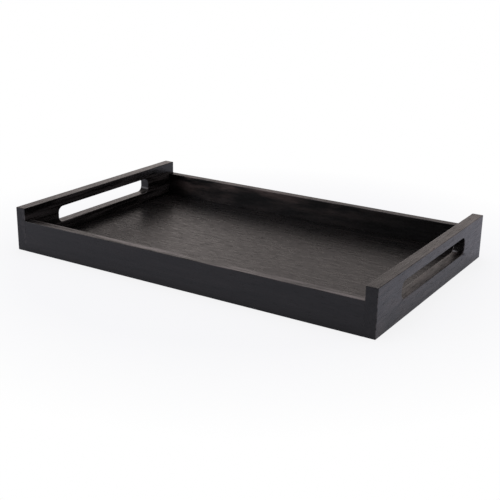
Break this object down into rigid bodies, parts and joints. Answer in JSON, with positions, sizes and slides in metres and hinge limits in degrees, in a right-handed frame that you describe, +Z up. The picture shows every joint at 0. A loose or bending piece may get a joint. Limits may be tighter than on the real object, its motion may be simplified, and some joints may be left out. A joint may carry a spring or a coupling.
{
  "type": "waiter tray",
  "caption": "Rectangular wooden serving tray: tall end boards with hand slots, lower side rails between them and a floor panel held in grooves.",
  "frame": {"origin": "centre of the tray's underside", "axes": "+X along the tray's length towards the right end board, +Y across it towards the rear rail, +Z up"},
  "size_m": [0.6, 0.375, 0.0675],
  "materials": {
    "end_board_wood": "solid hardwood, black-brown stain under a satin lacquer",
    "rail_wood": "solid hardwood, black-brown stain under a satin lacquer",
    "panel_veneer": "veneered panel, black-brown stain under a satin lacquer",
    "dowel_beech": "bare fluted beech"
  },
  "bodies": {
    "root": {"left_end_board": "end_board_wood", "right_end_board": "end_board_wood", "front_rail": "rail_wood", "rear_rail": "rail_wood", "base_panel": "panel_veneer", "dowel_front_left_lower": "dowel_beech", "dowel_front_left_upper": "dowel_beech", "dowel_front_right_lower": "dowel_beech", "dowel_front_right_upper": "dowel_beech", "dowel_rear_left_lower": "dowel_beech", "dowel_rear_left_upper": "dowel_beech", "dowel_rear_right_lower": "dowel_beech", "dowel_rear_right_upper": "dowel_beech"}
  },
  "joints": []
}
